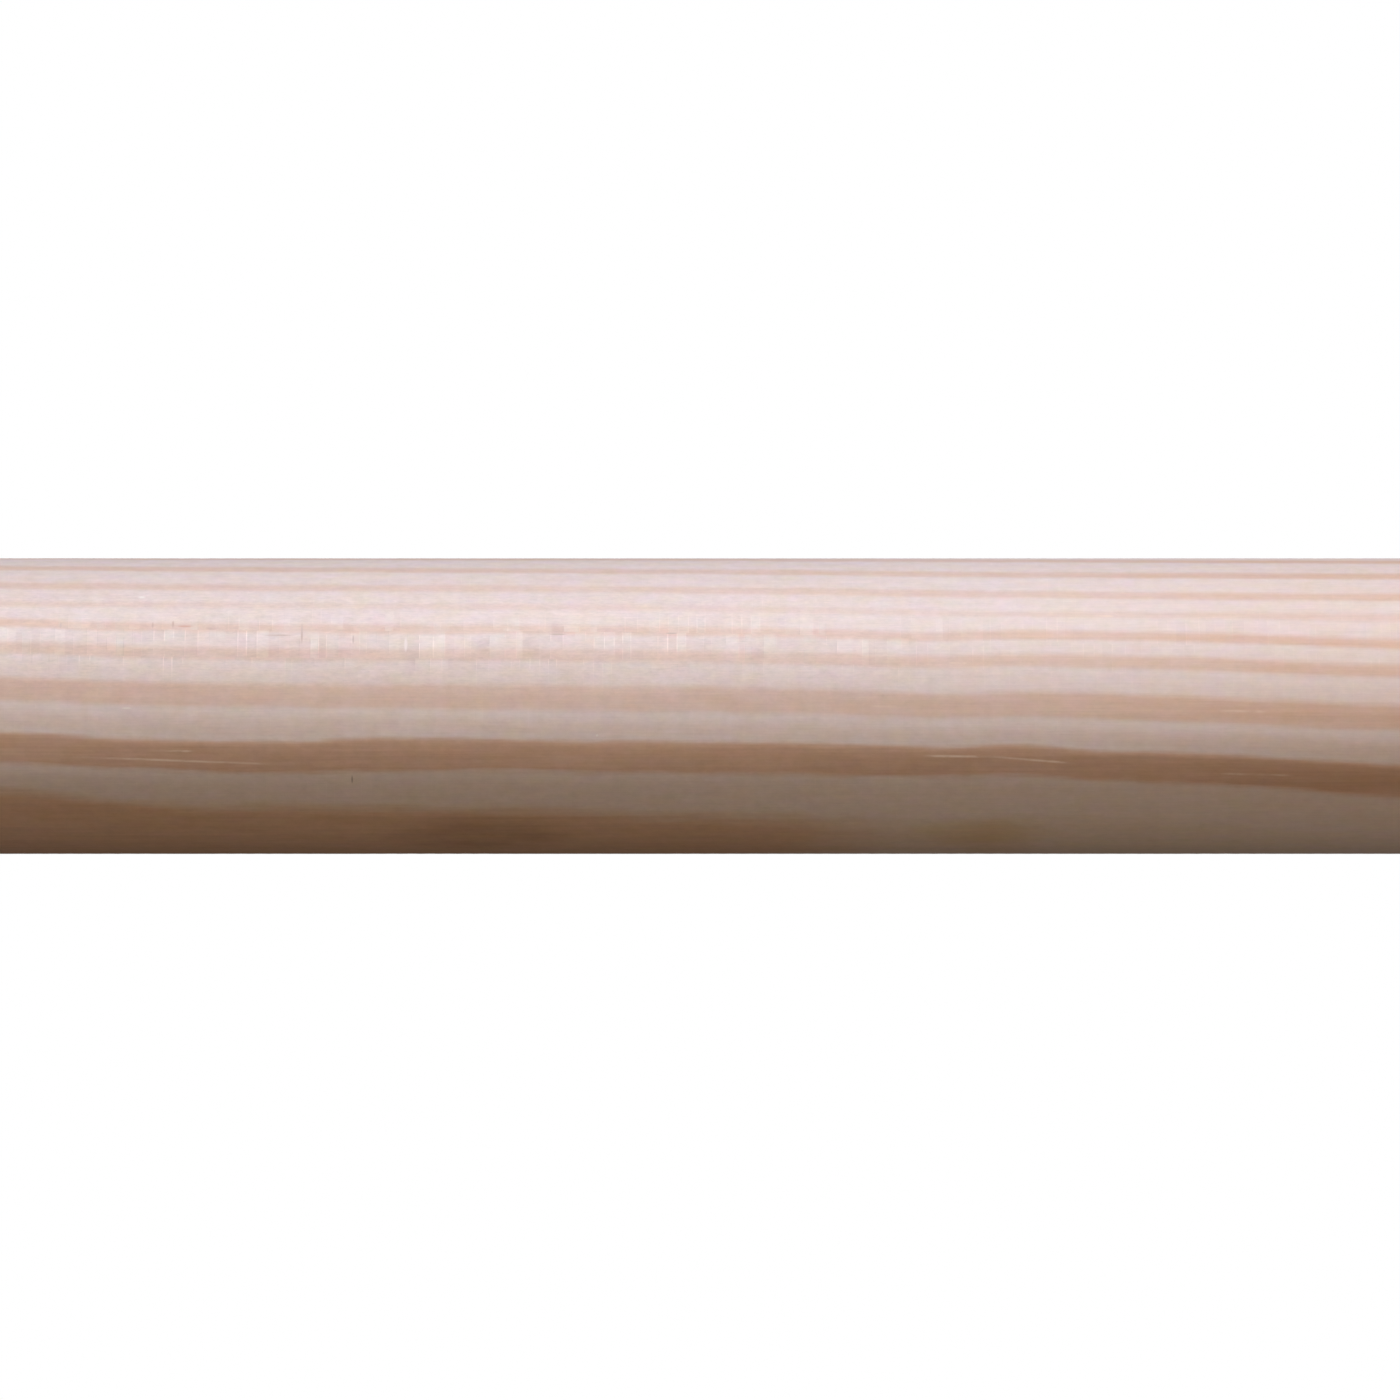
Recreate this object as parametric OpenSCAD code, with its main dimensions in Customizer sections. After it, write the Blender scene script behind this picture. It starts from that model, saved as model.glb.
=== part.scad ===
// Round wooden dowel rod, standing on one sawn end.
// The origin is the centre of the lower end, and +Z runs up the rod's axis.

/* [Rod] */
// Diameter of the round rod
rod_d = 25; // [6:0.5:50]
// Length of the rod, from one sawn end to the other
rod_length = 300; // [50:5:1000]

/* [Ends] */
// Radius to which the sharp edge round each sawn end is eased
edge_r = 0.8; // [0.2:0.1:1.5]

/* [Hidden] */

rod_r = rod_d / 2;
// The round wall runs between the two eased edges.
wall_length = rod_length - 2 * edge_r;
// Facets in the quick view, round the rod and round one eased edge
round_fn = 128;
edge_fn = 32;

// Half of the section through the axis: the sawn ends are flat,
// the wall is straight, and a quarter round joins them at each end.
module half_section() {
    square([rod_r - edge_r, rod_length]);
    translate([0, edge_r])
        square([rod_r, wall_length]);
    for (z = [edge_r, rod_length - edge_r])
        translate([rod_r - edge_r, z])
            circle(r = edge_r, $fn = edge_fn);
}

// One length of pine, moulded round and sawn square at both ends
module rod() {
    color([0.86, 0.72, 0.62])
        rotate_extrude($fn = round_fn)
            half_section();
}

rod();
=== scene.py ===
import math

import bmesh
import bpy
from mathutils import Matrix, Vector, noise


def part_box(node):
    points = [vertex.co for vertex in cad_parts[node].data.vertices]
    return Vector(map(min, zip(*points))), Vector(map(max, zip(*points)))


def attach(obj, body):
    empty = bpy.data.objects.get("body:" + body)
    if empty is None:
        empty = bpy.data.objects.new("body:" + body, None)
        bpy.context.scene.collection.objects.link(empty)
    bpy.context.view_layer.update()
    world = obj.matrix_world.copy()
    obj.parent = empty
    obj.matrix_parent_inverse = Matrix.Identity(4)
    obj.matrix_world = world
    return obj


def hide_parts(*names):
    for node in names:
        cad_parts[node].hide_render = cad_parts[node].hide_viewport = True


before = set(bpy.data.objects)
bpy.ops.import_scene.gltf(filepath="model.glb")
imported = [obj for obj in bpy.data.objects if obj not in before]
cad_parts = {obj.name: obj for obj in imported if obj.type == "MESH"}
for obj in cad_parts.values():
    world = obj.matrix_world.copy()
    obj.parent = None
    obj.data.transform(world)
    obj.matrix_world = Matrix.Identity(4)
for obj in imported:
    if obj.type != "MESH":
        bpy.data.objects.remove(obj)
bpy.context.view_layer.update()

scene = bpy.context.scene
scene.view_settings.view_transform = "Standard"


# ------------------------------------------------------------------ the rod
# One length of pine, run between two half-round cutter heads and sawn square
# at both ends. The feed past the knives leaves shallow scallops across the
# grain, and a touch of sandpaper eases the edge round each sawn end.

low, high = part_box("rod")
rod_radius = (high.x - low.x) / 2
rod_length = high.z - low.z
edge_radius = 0.0008
edge_steps = 6
end_rings = 12
steps_round = 100
steps_along = 860
touching = 1e-6
no_length = 1e-7

# Half the rod's section, its outer corners eased, is spun into the whole rod.
shape = bmesh.new()
corners = [(0, 0, 0), (rod_radius, 0, 0), (rod_radius, 0, rod_length), (0, 0, rod_length)]
section = [shape.verts.new(corner) for corner in corners]
for start, end in zip(section, section[1:]):
    shape.edges.new((start, end))
bmesh.ops.bevel(
    shape,
    geom=section[1:3],
    offset=edge_radius,
    offset_type="OFFSET",
    segments=edge_steps,
    profile=0.5,
    affect="VERTICES",
    material=-1,
)
lower_cut, upper_cut, wall = sorted(shape.edges, key=lambda edge: edge.calc_length())[-3:]
bmesh.ops.subdivide_edges(shape, edges=[wall], cuts=steps_along - 1)
bmesh.ops.subdivide_edges(shape, edges=[lower_cut, upper_cut], cuts=end_rings - 1)
bmesh.ops.spin(
    shape,
    geom=shape.verts[:] + shape.edges[:],
    cent=(0, 0, 0),
    axis=(0, 0, 1),
    angle=math.tau,
    steps=steps_round,
    use_merge=True,
)
bmesh.ops.remove_doubles(shape, verts=shape.verts[:], dist=touching)
bmesh.ops.dissolve_degenerate(shape, edges=shape.edges[:], dist=no_length)
bmesh.ops.recalc_face_normals(shape, faces=shape.faces[:])

# One scallop for each cut of the knives. The cuts come a little early or late,
# bite more or less deeply from place to place, and fade out before the edges.
cut_pitch = 0.0016
cut_depth = 0.000012
early_or_late = 0.35
early_or_late_length = 4 * cut_pitch
usual_bite = 0.6
bite_change = 0.8
bite_patch = 3 * cut_pitch
wall_starts = 0.999 * rod_radius
for vert in shape.verts:
    from_end = min(vert.co.z, rod_length - vert.co.z) - edge_radius
    if from_end <= 0 or vert.co.xy.length < wall_starts:
        continue
    drift = early_or_late * noise.noise((0, 0, vert.co.z / early_or_late_length))
    cut = vert.co.z / cut_pitch + drift
    bite = usual_bite + bite_change * noise.noise(vert.co / bite_patch)
    scallop = abs(math.sin(math.pi * cut)) * bite
    fade = min(1, from_end / cut_pitch)
    vert.co.xy *= 1 - cut_depth * scallop * fade / rod_radius

# The wall unrolls into one wide strip of the map, the two sawn ends beside it.
strip_width = 0.8
strip_margin = 0.01
end_map_radius = 0.09
end_map_places = {"lower": (0.9, 0.25), "upper": (0.9, 0.75)}
flat_enough = 0.7
unrolled = shape.loops.layers.uv.new("OFBake")
for face in shape.faces:
    face.smooth = True
    middle = face.calc_center_median()
    on_an_end = abs(face.normal.z) > flat_enough
    which_end = "upper" if middle.z > rod_length / 2 else "lower"
    seam_side = math.atan2(middle.x, -middle.y)
    for loop in face.loops:
        place = loop.vert.co
        if on_an_end:
            centre = end_map_places[which_end]
            scale = end_map_radius / rod_radius
            loop[unrolled].uv = (centre[0] + place.x * scale, centre[1] + place.y * scale)
        else:
            turn = math.atan2(place.x, -place.y)
            turn += math.tau * round((seam_side - turn) / math.tau)
            loop[unrolled].uv = (
                strip_width * (0.5 + turn / math.tau),
                strip_margin + (1 - 2 * strip_margin) * place.z / rod_length,
            )

rod_mesh = bpy.data.meshes.new("pine_rod")
shape.to_mesh(rod_mesh)
shape.free()
rod = bpy.data.objects.new("pine_rod", rod_mesh)
scene.collection.objects.link(rod)

# The pine is flat-sawn: the tree's heart lies outside the rod, so the growth
# rings cross it as shallow arcs. Each ring darkens to its latewood and then
# breaks off sharply. The wood is bare, planed by the knives and not varnished.
# From here to the end of the rod, sizes are in millimetres.

pine = bpy.data.materials.new("planed_pine")
pine.use_nodes = True
tree = pine.node_tree
tree.nodes.clear()


def add(kind, label="", **settings):
    """A new node in the material that tree stands for at the time."""
    made = tree.nodes.new("ShaderNode" + kind)
    made.label = label
    for name, value in settings.items():
        setattr(made, name, value)
    return made


def feed(socket, value):
    """Gives a socket a link, where value is a socket, or else a fixed value."""
    if isinstance(value, bpy.types.NodeSocket):
        tree.links.new(value, socket)
    else:
        socket.default_value = value


def work(operation, *terms, label=""):
    """One step of arithmetic on numbers or sockets."""
    step = add("Math", label, operation=operation)
    for socket, term in zip(step.inputs, terms):
        feed(socket, term)
    return step.outputs[0]


def times(first, second):
    return work("MULTIPLY", first, second)


def minus(first, second):
    return work("SUBTRACT", first, second)


def raised(base, pattern, amount):
    """The base, with that amount of a pattern added to it."""
    return work("MULTIPLY_ADD", pattern, amount, base)


def spread(value, from_low, from_high, to_low, to_high, label="", shape="SMOOTHSTEP"):
    """Carries a value from one range to another, and holds it at the ends."""
    step = add("MapRange", label, interpolation_type=shape)
    for socket, term in zip(step.inputs, (value, from_low, from_high, to_low, to_high)):
        feed(socket, term)
    return step.outputs[0]


def point_at(first, second, label=""):
    step = add("CombineXYZ", label)
    feed(step.inputs[0], first)
    feed(step.inputs[1], second)
    return step.outputs[0]


def length_of(vector, label=""):
    step = add("VectorMath", label, operation="LENGTH")
    feed(step.inputs[0], vector)
    return step.outputs["Value"]


def placed(vector, scale, shift=(0, 0, 0), label=""):
    """Coordinates that are scaled and then shifted."""
    step = add("Mapping", label, vector_type="POINT")
    feed(step.inputs["Vector"], vector)
    step.inputs["Scale"].default_value = scale
    step.inputs["Location"].default_value = shift
    return step.outputs[0]


coordinates = add("TexCoord")
here = placed(coordinates.outputs["Object"], (1000, 1000, 1000), label="metres to millimetres")
axes = add("SeparateXYZ")
feed(axes.inputs[0], here)
x, y, z = axes.outputs
rod_top = round(rod_length * 1000)
mid_height = rod_top / 2


def streaks(across, along, detail=2.0, rough=0.5, shift=(0, 0, 0), label=""):
    """Noise from -1 to 1, in patches so wide across the grain and so long along it."""
    step = add("TexNoise", label, noise_dimensions="3D", normalize=True)
    feed(step.inputs["Vector"], placed(here, (1 / across, 1 / across, 1 / along), shift))
    step.inputs["Scale"].default_value = 1.0
    step.inputs["Detail"].default_value = detail
    step.inputs["Roughness"].default_value = rough
    return raised(-1.0, step.outputs["Fac"], 2.0)


# Distance from the heart of the tree, whose line leans a little against the rod
heart_x, heart_y = -34.5, 14.7
heart_lean_x, heart_lean_y = 0.0073, -0.0105
above_middle = minus(z, mid_height)
from_heart_x = minus(x, raised(heart_x, above_middle, heart_lean_x))
from_heart_y = minus(y, raised(heart_y, above_middle, heart_lean_y))
from_heart = length_of(point_at(from_heart_x, from_heart_y), "distance from the heart")


def curve_of(value, low_end, high_end, points, rounded=False, label=""):
    """A curve through (value, result) points, for values between the two ends."""
    step = add("FloatCurve", label)
    curve = step.mapping.curves[0]
    for place, result in points:
        curve.points.new((place - low_end) / (high_end - low_end), result)
    first, last = curve.points[0], curve.points[-1]
    first.location = (0, points[0][1])
    last.location = (1, points[-1][1])
    for point in curve.points:
        point.handle_type = "AUTO" if rounded else "VECTOR"
    step.mapping.update()
    feed(step.inputs["Value"], spread(value, low_end, high_end, 0, 1, shape="LINEAR"))
    return step.outputs[0]


def bend_of(points, straight, label):
    """Sideways bend at each height. A curve holds 0 to 1, so straight stands for none."""
    lifted = [(height, straight + by) for height, by in points]
    return minus(curve_of(z, 0, rod_top, lifted, rounded=True, label=label), straight)


# The grain waves gently along the rod, less in the inner rings than in the
# outer ones. Each ring also wanders a little by itself, and its edges fray.
grain_bend_points = [
    (0, 0), (40, 0.12), (91, 0.05), (106, -0.04), (124, 0.06), (148, 0.18),
    (161, 0.08), (177, -0.3), (205, -0.42), (240, -0.2), (300, -0.05),
]
grain_bend = bend_of(grain_bend_points, 0.5, "bend of the grain")
inner_share = 0.35
inner_ends = 36.2
share_of_bend = spread(from_heart, inner_ends, inner_ends + 1.2, inner_share, 1)
ring_wander = 0.2
ring_fray = 0.19
wander = times(streaks(5, 38, detail=1.0, label="wander of each ring"), ring_wander)
fray = times(streaks(0.7, 7, detail=3.0, rough=0.6, label="frayed ring edges"), ring_fray)
ring_place = work("ADD", raised(from_heart, grain_bend, share_of_bend), work("ADD", wander, fray))

# The outer rings have a bend of their own.
outer_bend_points = [
    (0, 0), (91, 0), (103, 0.2), (128, 0.24), (150, 0.3), (163, 0.25),
    (172, 0), (183, -0.3), (198, -0.15), (205, 0), (300, 0),
]
outer_bend = bend_of(outer_bend_points, 0.5, "bend of the outer rings")
is_outer = spread(from_heart, inner_ends, inner_ends + 1.0, 0, 1)
ring_place = minus(ring_place, times(is_outer, outer_bend))

# So has the darkest one, which narrows a little towards the top.
dark_bend_points = [
    (0, 0), (91, 0.05), (98, 0.04), (105, 0.02), (113, 0.04), (121, -0.18),
    (130, -0.25), (150, -0.26), (160, -0.3), (173, -0.45), (183, -0.22),
    (195, -0.2), (206, -0.12), (216, 0), (300, 0),
]
dark_bend = bend_of(dark_bend_points, 0.8, "bend of the darkest ring")
past_start = spread(from_heart, 44.9, 45.7, 0, 1)
before_end = spread(from_heart, 48.1, 49.3, 1, 0)
ring_place = minus(ring_place, times(times(past_start, before_end), dark_bend))
dark_ring_starts, dark_ring_ends = 46.3, 47.9
narrower_by = 0.15
across_dark_ring = spread(ring_place, dark_ring_starts, dark_ring_ends, 0, 1, shape="LINEAR")
ring_place = raised(ring_place, across_dark_ring, spread(z, 150, 200, 0, narrower_by))

# Latewood of each growth ring: where it starts and ends from the heart, its darkness
latewood_bands = [
    (24.4, 25.3, 0.50),
    (27.2, 28.1, 0.60),
    (30.2, 31.1, 0.63),
    (33.1, 34.0, 0.54),
    (35.5, 36.2, 0.37),
    (37.6, 38.4, 0.74),
    (39.7, 40.7, 0.63),
    (42.6, 44.2, 0.72),
    (44.95, 45.9, 0.22),
    (46.3, 47.85, 1.00),
    (49.35, 51.3, 0.88),
]
band_edge = 0.25
darkest_past_middle = 0.1
first_wood, last_wood = 24.0, 52.0

# Seven points for each: it rises over one edge, is darkest just past its middle,
# and breaks off over the other.
rise_and_fall = []
for start, end, darkness in latewood_bands:
    rise_and_fall += [
        (start - band_edge, 0.08 * darkness),
        (start, 0.55 * darkness),
        (start + 0.8 * band_edge, 0.95 * darkness),
        ((start + end) / 2 + darkest_past_middle, darkness),
        (end - 0.5 * band_edge, 0.90 * darkness),
        (end + 0.2 * band_edge, 0.35 * darkness),
        (end + 0.9 * band_edge, 0.0),
    ]
bands = curve_of(ring_place, first_wood, last_wood, rise_and_fall, label="latewood of every ring")

# The latewood is stronger at some heights in the tree than at others, and the
# broad dark rings keep more of their strength. This is partly painted sheen: the
# rings are weakest at mid heights, where the highlight's glare washes them out,
# and the broad dark rings lie below the highlight.
strength_and_glare_points = [
    (0, 0.8), (35, 0.5), (70, 0.85), (91, 0.68), (116, 0.57), (147, 0.53),
    (167, 0.59), (180, 0.68), (195, 0.80), (225, 0.8), (262, 0.55), (300, 0.8),
]
strength = curve_of(z, 0, rod_top, strength_and_glare_points, label="strength along the rod")
broad_keep = 0.7
kept = spread(ring_place, 45.9, 46.2, 0, broad_keep)
latewood = times(bands, work("ADD", strength, times(kept, minus(1.0, strength))))

# The outermost ring thins out towards the top, with one streak left above.
outermost_points = [
    (0, 1), (150, 1), (158, 0.85), (166, 0.3), (169.5, 0.3), (174, 0.5),
    (179, 0.15), (190, 0.1), (205, 0), (230, 0.3), (300, 0.8),
]
outermost = curve_of(z, 0, rod_top, outermost_points, label="strength of the outermost ring")
is_outermost = spread(ring_place, 48.5, 48.9, 0, 1)
latewood = times(latewood, minus(1.0, times(is_outermost, minus(1.0, outermost))))
latewood_change = 0.24
uneven = streaks(1.2, 7, detail=3.0, rough=0.6, shift=(4, 12, 1), label="uneven latewood")
latewood = times(latewood, raised(1.0, uneven, latewood_change))

# Colours from the palest early wood to the darkest latewood
wood_tints = [
    (0, (0.722, 0.562, 0.500)),
    (0.65, (0.640, 0.394, 0.283)),
    (1, (0.545, 0.322, 0.212)),
]
ring_tint = add("ValToRGB", "early and late wood")
ramp = ring_tint.color_ramp
ramp.elements.new(0.5)
for stop, (place, colour) in zip(ramp.elements, wood_tints):
    stop.position = place
    stop.color = (*colour, 1)
feed(ring_tint.inputs[0], latewood)
wood_colour = ring_tint.outputs[0]


def mix_colours(amount, first, second, blend="MIX", label=""):
    step = add("Mix", label, data_type="RGBA", blend_type=blend, clamp_factor=True)
    feed(step.inputs["Factor"], amount)
    feed(step.inputs[6], first)
    feed(step.inputs[7], second)
    return step.outputs[2]


def stained(amount, stain_colour, label=""):
    """The wood so far, stained with a colour."""
    return mix_colours(amount, wood_colour, stain_colour, blend="MULTIPLY", label=label)


# Distance round the rod from its -Y side, positive towards -X
turn_round = work("ARCTAN2", times(x, -1.0), times(y, -1.0))
round_rod = times(turn_round, rod_radius * 1000)
on_wall = point_at(z, round_rod, "along the rod and round it")


def patch(along, turned, half_long, half_wide):
    """1 at one place on the wall, falling to 0 at an oval round it."""
    full_within = 0.3
    shift = (-along / half_long, -turned / half_wide, 0)
    far = length_of(placed(on_wall, (1 / half_long, 1 / half_wide, 1), shift))
    return spread(far, full_within, 1.0, 1, 0)


# A resin stain, and the brown tongue beside it, with ragged edges
stain_edge = streaks(1.6, 6, detail=3.0, shift=(8, 2, 5), label="edge of the stain")
stain_place = patch(along=131.5, turned=-13.3, half_long=10.0, half_wide=3.8)
stain_strength, stain_raggedness = 0.9, 0.9
stain = times(stain_place, raised(0.85, stain_edge, stain_raggedness))
wood_colour = stained(times(stain, stain_strength), (0.74, 0.70, 0.66, 1), "resin stain")
tongue_place = patch(along=173.5, turned=-12.9, half_long=7.5, half_wide=2.6)
tongue_strength, tongue_raggedness = 0.5, 0.5
tongue = times(tongue_place, raised(1.0, stain_edge, tongue_raggedness))
wood_colour = stained(times(tongue, tongue_strength), (0.92, 0.88, 0.62, 1), "brown tongue")

# The first half of each broad dark ring is the brownest: where the brown starts,
# is full, fades and ends from the heart, and its colour.
brown_bands = [
    (46.15, 46.45, 46.9, 47.4, (0.945, 0.915, 0.885, 1)),
    (48.95, 49.3, 49.8, 50.6, (0.99, 0.985, 0.93, 1)),
]
for starts, full, fades, ends, brown in brown_bands:
    brownest = times(spread(ring_place, starts, full, 0, 1), spread(ring_place, fades, ends, 1, 0))
    wood_colour = stained(brownest, brown, "brownest part of a ring")

# The wood warms a little towards the top end.
wood_colour = stained(spread(z, 172, 212, 0, 1), (0.975, 0.945, 0.92, 1), "warmer towards the top")

# Fine fibres, flecks, lines in the latewood, bundles of fibres and a light mottle
# change the tone a little. The flecks are heavier in a band on the lower half,
# where the highlight falls: painted sheen on the fibres there.
fibres = streaks(0.11, 4.0, detail=3.0, rough=0.6, label="fibres")
flecks = streaks(0.16, 0.55, detail=2.0, rough=0.6, shift=(13, 4, 6), label="flecks")
bundles = streaks(0.6, 22.0, detail=2.0, shift=(31, 7, 3), label="bundles of fibres")
mottle = streaks(0.8, 1.1, detail=3.0, rough=0.65, shift=(5, 17, 11), label="mottle")
dark_lines = streaks(0.28, 26.0, detail=2.0, shift=(11, 19, 8), label="fine lines in the latewood")
# Painted sheen: the band of heavier flecks lies where the highlight falls.
fleck_sheen_turn = 6.5
fleck_sheen_core, fleck_sheen_reach = 3.0, 6.5
off_fleck_sheen = work("ABSOLUTE", minus(round_rod, fleck_sheen_turn))
near_fleck_sheen = spread(off_fleck_sheen, fleck_sheen_core, fleck_sheen_reach, 1, 0)
fleck_sheen_band = times(spread(z, 145, 190, 1, 0), near_fleck_sheen)
shades = [
    (fibres, 0.075),
    (flecks, raised(0.040, fleck_sheen_band, 0.085)),
    (dark_lines, times(latewood, 0.12)),
    (bundles, 0.035),
    (mottle, spread(z, 150, 195, 0.120, 0.088)),
]
tone = 0.0
for pattern, amount in shades:
    tone = raised(tone, pattern, amount)

# Knife marks: bars across the grain of unlike width, in rows that follow the
# rings, with thin bright or dark lines between them. Each row has its own bars.
# In the colour, the bars' tone is partly their own and partly painted glints,
# and the thin bright lines are painted glints off the edges of the cuts.
bar_width = 0.85
row_width = 2.4
row_start = 38.4
row_shift = 7.3
in_grain = work("ADD", from_heart, grain_bend)
row = work("FLOOR", work("DIVIDE", minus(in_grain, row_start), row_width))
bar_place = raised(work("DIVIDE", z, bar_width), row, row_shift)
bars = add("TexVoronoi", "knife marks", voronoi_dimensions="1D", feature="F1")
bars.inputs["Scale"].default_value = 1.0
feed(bars.inputs["W"], bar_place)
bar_split = add("SeparateColor")
feed(bar_split.inputs[0], bars.outputs["Color"])
bar_tone, bar_sheen, bar_edge_tone = bar_split.outputs
bar_ends = add(
    "TexVoronoi",
    "edges of knife marks",
    voronoi_dimensions="1D",
    feature="DISTANCE_TO_EDGE",
)
bar_ends.inputs["Scale"].default_value = 1.0
feed(bar_ends.inputs["W"], bar_place)
line_core, line_reach = 0.02, 0.10
from_line = bar_ends.outputs["Distance"]
bar_edge = spread(from_line, line_core, line_reach, 1, 0, label="thin lines between marks")

# The marks are broken up by the fibres, and heaviest on one side of the lower
# half, in the band where the highlight falls.
highlight_band_turn = 5.5
highlight_band_reach = 3.2
highlight_band_top = 168.0
highlight_band_fade = 10.0
highlight_band_above = 0.3
marks_elsewhere = 0.15
off_highlight_band = work("ABSOLUTE", minus(round_rod, highlight_band_turn))
highlight_band = times(
    spread(off_highlight_band, 0.25 * highlight_band_reach, highlight_band_reach, 1, 0),
    spread(z, highlight_band_top - highlight_band_fade, highlight_band_top + highlight_band_fade, 1, highlight_band_above),
)
breaks = streaks(1.4, 2.4, detail=3.0, rough=0.6, shift=(3, 9, 2), label="breaks in the marks")
breaks_below, whole_above = -0.25, 0.15
unbroken = spread(breaks, breaks_below, whole_above, 0, 1)
band_marks_low_down, band_marks_higher = 1.1, 0.85
band_marks_strength = spread(z, 125, 150, band_marks_low_down, band_marks_higher)
marks = times(unbroken, raised(marks_elsewhere, highlight_band, band_marks_strength))

# Painted glints: the bars and thin bright lines lighten the colour most in the highlight band.
bar_contrast = 0.115
line_glint_contrast = 1.5
usual_line_tone = 0.42
lines_lost_in_latewood = -0.7
bar_tone_and_glint = times(minus(bar_tone, 0.5), bar_contrast)
line_tone = work("POWER", minus(bar_edge_tone, usual_line_tone), 3.0)
line_glint = times(times(bar_edge, line_tone), line_glint_contrast)
line_glint = times(line_glint, raised(1.0, bands, lines_lost_in_latewood))
tone = raised(tone, work("ADD", bar_tone_and_glint, line_glint), marks)


def shaded(colour, amount, label):
    """A colour made lighter or darker by an amount round 1."""
    step = add("VectorMath", label, operation="SCALE")
    feed(step.inputs[0], colour)
    feed(step.inputs["Scale"], amount)
    return step.outputs[0]


wood_colour = shaded(wood_colour, work("ADD", tone, 1.0), "tone")

# Patches and bars lean a little towards pink or towards olive, and patches
# towards blue or yellow.
lean = streaks(1.4, 2.2, detail=3.0, rough=0.65, shift=(21, 14, 9), label="pink and olive patches")
bar_lean = times(minus(bar_sheen, 0.5), marks)
bar_share = 0.7
lean = raised(lean, bar_lean, bar_share)
blue = streaks(1.3, 2.2, detail=2.0, rough=0.6, shift=(2, 24, 19), label="blue and yellow patches")
red_change, green_change, blue_change = 0.04, -0.045, 0.15
leaning = add("CombineColor", "pink, olive, blue or yellow")
feed(leaning.inputs["Red"], raised(1.0, lean, red_change))
feed(leaning.inputs["Green"], raised(1.0, lean, green_change))
feed(leaning.inputs["Blue"], raised(1.0, blue, blue_change))
wood_colour = stained(1.0, leaning.outputs[0])

# Cut resin canals: thin pale lines along the grain. Place along the rod, place
# round it, half length, slope, strength.
resin_canals = [
    (106.2, -4.66, 9.5, -0.040, 1.0),
    (105.8, -3.80, 2.2, -0.010, 0.8),
    (172.0, -4.28, 3.8, -0.010, 1.0),
    (178.0, -4.62, 3.6, -0.085, 0.9),
    (165.3, 0.01, 1.3, -0.02, 0.5),
    (195.4, -0.42, 2.2, -0.01, 0.6),
    (171.6, 3.65, 0.9, -0.02, 0.6),
    (184.0, 8.10, 0.8, -0.03, 0.8),
    (196.5, -5.95, 3.5, -0.03, 0.6),
]
canal_width = 0.14
canal_core = 0.2 * canal_width
canal_opacity = 0.8
canal_colour = (0.82, 0.60, 0.46, 1)
canals = 0.0
for along, turned, reach, slope, canal_strength in resin_canals:
    along_canal = minus(z, along)
    off_canal = work("ABSOLUTE", minus(round_rod, raised(turned, along_canal, slope)))
    thin = spread(off_canal, canal_core, canal_width, canal_strength, 0)
    tapered = spread(work("ABSOLUTE", along_canal), 0.5 * reach, reach, 1, 0)
    canals = work("ADD", canals, times(thin, tapered))
canal_gaps_below, canal_whole_above, left_in_gaps = -0.4, 0.3, 0.2
canal_noise = streaks(0.5, 1.5, shift=(1, 2, 3), label="gaps in the canals")
canal_gaps = spread(canal_noise, canal_gaps_below, canal_whole_above, left_in_gaps, 1)
canals = times(canals, times(canal_gaps, canal_opacity))
wood_colour = mix_colours(canals, wood_colour, canal_colour, label="resin canals")

# Small marks: chips of bright wood, torn slivers, and ticks across the grain.
# Place along the rod, place round it, half length, half width, colour.
small_marks = [
    # The first is a painted glint: a torn fibre catching the highlight on the lit side.
    (103.2, 10.25, 0.40, 0.22, (0.80, 0.67, 0.60, 1)),
    (106.9, 7.06, 0.85, 0.13, (0.60, 0.33, 0.25, 1)),
    (120.9, -6.41, 0.10, 0.50, (0.40, 0.30, 0.26, 1)),
    (116.7, 6.37, 0.13, 1.20, (0.58, 0.41, 0.35, 1)),
    (114.7, 6.18, 1.70, 0.12, (0.60, 0.44, 0.38, 1)),
    (105.9, 7.26, 0.12, 0.45, (0.56, 0.36, 0.29, 1)),
    (104.2, 7.16, 0.12, 0.38, (0.56, 0.36, 0.29, 1)),
    (96.5, 7.16, 0.12, 0.38, (0.56, 0.38, 0.31, 1)),
    (121.0, 5.80, 0.10, 0.55, (0.58, 0.43, 0.38, 1)),
    (125.4, 5.33, 0.20, 0.85, (0.80, 0.64, 0.58, 1)),
    (138.1, 6.27, 0.95, 0.11, (0.56, 0.41, 0.34, 1)),
    (147.6, 6.37, 0.65, 0.11, (0.56, 0.41, 0.34, 1)),
    (141.4, -2.46, 0.14, 0.14, (0.80, 0.68, 0.60, 1)),
    (102.1, -0.16, 0.55, 0.10, (0.80, 0.66, 0.58, 1)),
]
for along, turned, half_long, half_wide, mark_colour in small_marks:
    mark = patch(along, turned, half_long, half_wide)
    wood_colour = mix_colours(mark, wood_colour, mark_colour)

# End grain: the saw leaves it rougher and darker, with a faint arc from each tooth.
end_colour = (0.93, 0.85, 0.76, 1)
saw_centre_x, saw_centre_y = -128.0, -96.0
tooth_pitch = 0.9
tooth_unevenness = 0.25
end_starts, end_is_full = mid_height - 0.45, mid_height - 0.1
from_mid_height = work("ABSOLUTE", above_middle)
on_end = spread(from_mid_height, end_starts, end_is_full, 0, 1, label="on a sawn end")
saw_reach = length_of(point_at(minus(x, saw_centre_x), minus(y, saw_centre_y)))
saw_jitter = streaks(2.5, 50, detail=2.0, shift=(6, 6, 6), label="unsteady saw")
uneven_reach = raised(saw_reach, saw_jitter, tooth_unevenness)
saw_lines = work("SINE", times(uneven_reach, math.tau / tooth_pitch))
pores = streaks(0.13, 30, detail=2.0, rough=0.7, shift=(9, 1, 4), label="ends of the fibres")
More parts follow.
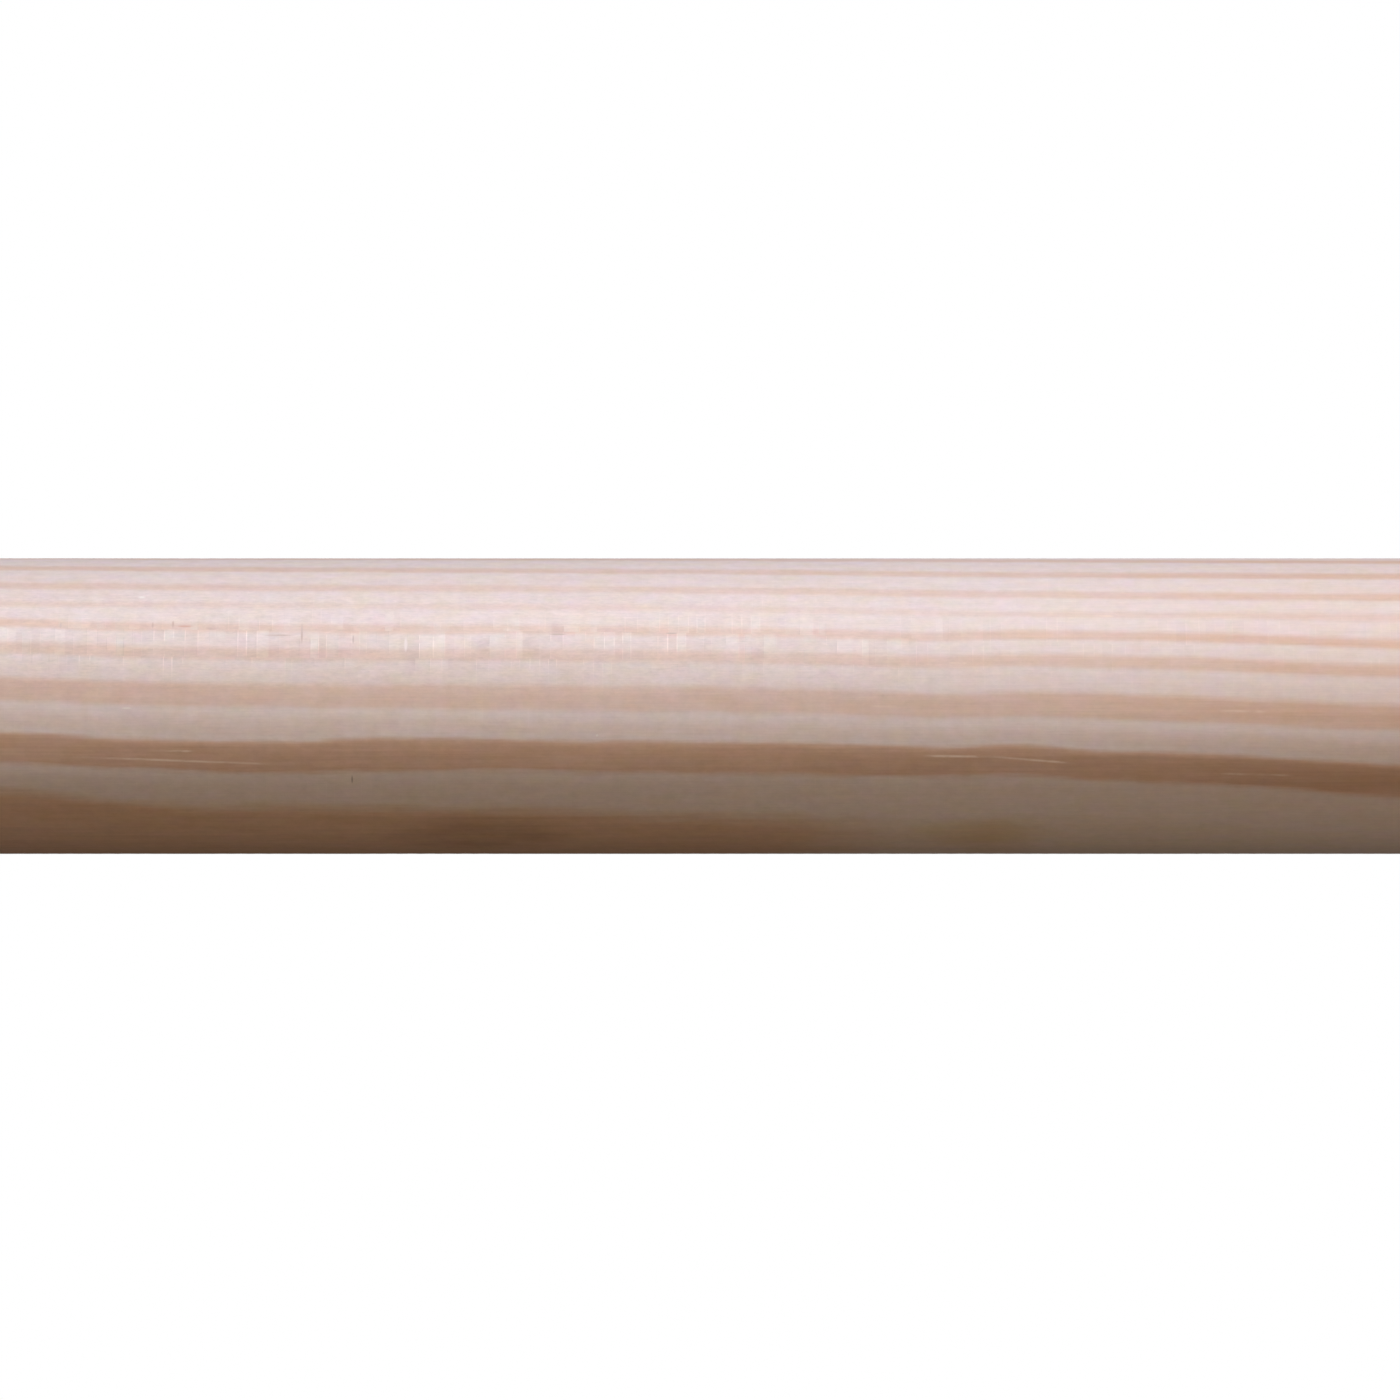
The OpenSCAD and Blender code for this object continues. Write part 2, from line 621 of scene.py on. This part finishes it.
end_level, pore_tone, saw_tone = 0.97, 0.10, 0.02
end_tone = raised(raised(end_level, pores, pore_tone), saw_lines, saw_tone)
end_grain = shaded(stained(1.0, end_colour), end_tone, "end grain")
wood_colour = mix_colours(on_end, wood_colour, end_grain, label="wall and ends")

# Relief: fibres torn up by the knives, latewood left proud, and their heights
heights = [
    (fibres, 0.0020),
    (mottle, 0.0030),
    (times(bar_edge, marks), 0.0015),
    (latewood, 0.010),
]
relief = 0.0
for pattern, height in heights:
    relief = raised(relief, pattern, height)
pore_height, saw_height = 0.010, 0.006
end_relief = raised(times(pores, pore_height), saw_lines, saw_height)
relief = work("ADD", times(relief, minus(1.0, on_end)), times(end_relief, on_end))
bump = add("Bump", "relief")
millimetre = 0.001
bump.inputs["Distance"].default_value = millimetre
feed(bump.inputs["Height"], relief)

# Bare wood has a dull sheen. The latewood, and the half that the cutter
# burnished, are a little glossier, and the sawn ends are dull.
burnished, unburnished = 0.56, 0.66
bar_roughness, fleck_roughness, latewood_roughness, sawn_roughness = 0.16, 0.05, -0.05, 0.22
planed_roughness = spread(z, 135, 200, burnished, unburnished)
sheen_change = times(times(minus(bar_sheen, 0.5), marks), bar_roughness)
sheen_change = raised(sheen_change, flecks, fleck_roughness)
planed_roughness = raised(planed_roughness, latewood, latewood_roughness)
wall_roughness = work("ADD", planed_roughness, sheen_change)
surface = add("BsdfPrincipled", "bare pine")
surface.inputs["Specular IOR Level"].default_value = 0.5
feed(surface.inputs["Base Color"], wood_colour)
feed(surface.inputs["Roughness"], raised(wall_roughness, on_end, sawn_roughness))
feed(surface.inputs["Normal"], bump.outputs[0])
output = add("OutputMaterial")
tree.links.new(surface.outputs[0], output.inputs["Surface"])

rod_mesh.materials.append(pine)
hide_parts("rod")
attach(rod, "root")


# ---------------------------------------------------------------- the floor
# A round pale sheet that the rod stands on. It thins out to nothing before its
# edge, so that it runs into the white behind it. It looks pale to the camera,
# and throws little light back up at the rod.

floor_radius = 1.3
floor_sides = 128
thins_from = 0.25
thins_to = 1.2
floor_seen = (0.9, 0.9, 0.9, 1)
floor_for_light = (0.1, 0.095, 0.09, 1)

floor_shape = bmesh.new()
bmesh.ops.create_circle(floor_shape, cap_ends=True, segments=floor_sides, radius=floor_radius)
floor_mesh = bpy.data.meshes.new("floor")
floor_shape.to_mesh(floor_mesh)
floor_shape.free()
floor = bpy.data.objects.new("floor", floor_mesh)
scene.collection.objects.link(floor)

paper = bpy.data.materials.new("pale_floor")
paper.use_nodes = True
tree = paper.node_tree
tree.nodes.clear()
seen_directly = add("LightPath").outputs["Is Camera Ray"]
sheet = add("BsdfDiffuse")
feed(sheet.inputs["Color"], mix_colours(seen_directly, floor_for_light, floor_seen))
clear = add("BsdfTransparent")
out_from_rod = length_of(add("TexCoord").outputs["Object"])
thinning = add("MixShader")
feed(thinning.inputs[0], spread(out_from_rod, thins_from, thins_to, 0, 1))
tree.links.new(sheet.outputs[0], thinning.inputs[1])
tree.links.new(clear.outputs[0], thinning.inputs[2])
output = add("OutputMaterial")
tree.links.new(thinning.outputs[0], output.inputs["Surface"])
floor_mesh.materials.append(paper)


# --------------------------------------------------------------- the lights
# A tall soft box shines across the rod and a weaker, warmer one fills from the
# front. Two high ones keep the back and the sawn top from going black.

rod_middle = (low.z + high.z) / 2


def soft_box(name, turn, distance, height, width, tall, watts, colour):
    """turn is the angle round the rod, in degrees, from the -Y side towards the -X side."""
    lamp = bpy.data.lights.new(name, "AREA")
    lamp.shape = "RECTANGLE"
    lamp.size = width
    lamp.size_y = tall
    lamp.energy = watts
    lamp.color = colour
    box = bpy.data.objects.new(name, lamp)
    scene.collection.objects.link(box)
    angle = math.radians(turn)
    box.location = (-distance * math.sin(angle), -distance * math.cos(angle), height)
    from_rod_middle = box.location - Vector((0, 0, rod_middle))
    box.rotation_mode = "QUATERNION"
    box.rotation_quaternion = from_rod_middle.to_track_quat("Z", "Y")
    box.visible_camera = False


soft_box(
    "key_box",
    turn=60.5, distance=1.0, height=0.25, width=0.20, tall=0.4,
    watts=9.75, colour=(0.90, 1.0, 1.14),
)
soft_box(
    "front_fill",
    turn=-15.5, distance=1.4, height=0.50, width=0.7, tall=0.9,
    watts=5.85, colour=(1.13, 1.0, 0.81),
)
soft_box(
    "back_fill",
    turn=180.0, distance=0.7, height=1.10, width=0.6, tall=0.6,
    watts=12.0, colour=(1.0, 1.0, 1.0),
)
soft_box(
    "top_fill",
    turn=66.5, distance=0.5, height=1.15, width=0.5, tall=0.5,
    watts=3.6, colour=(1.0, 1.0, 1.0),
)

# The room is nearly dark to the rod, and white to the camera.
world = bpy.data.worlds.new("white_room")
scene.world = world
world.use_nodes = True
tree = world.node_tree
tree.nodes.clear()
dim = add("Background")
dim.inputs["Color"].default_value = (1.0, 0.95, 0.9, 1)
dim.inputs["Strength"].default_value = 0.008
white = add("Background")
white.inputs["Color"].default_value = (1, 1, 1, 1)
white.inputs["Strength"].default_value = 1.0
choice = add("MixShader")
feed(choice.inputs[0], add("LightPath").outputs["Is Camera Ray"])
tree.links.new(dim.outputs[0], choice.inputs[1])
tree.links.new(white.outputs[0], choice.inputs[2])
output = add("OutputWorld")
tree.links.new(choice.outputs[0], output.inputs["Surface"])


# --------------------------------------------------------------- the camera
# It looks straight at the side of the standing rod, turned a quarter round, so
# that the rod lies across the picture with its top end to the right.

picture_px = 1400
rod_width_px = 295.6
rod_below_middle_px = 6.1
camera_distance = 1.0

px = 2 * rod_radius / rod_width_px
lens_data = bpy.data.cameras.new("camera")
lens_data.sensor_width = 36.0
lens_data.lens = lens_data.sensor_width * camera_distance / (picture_px * px)
lens_data.clip_start = 0.01
camera = bpy.data.objects.new("camera", lens_data)
scene.collection.objects.link(camera)
picture_right, picture_up, towards_camera = (0, 0, 1), (-1, 0, 0), (0, -1, 0)
quarter_turned = Matrix((picture_right, picture_up, towards_camera)).transposed()
camera.rotation_mode = "QUATERNION"
camera.rotation_quaternion = quarter_turned.to_quaternion()
camera.location = (-rod_below_middle_px * px, -camera_distance, rod_middle)
scene.camera = camera
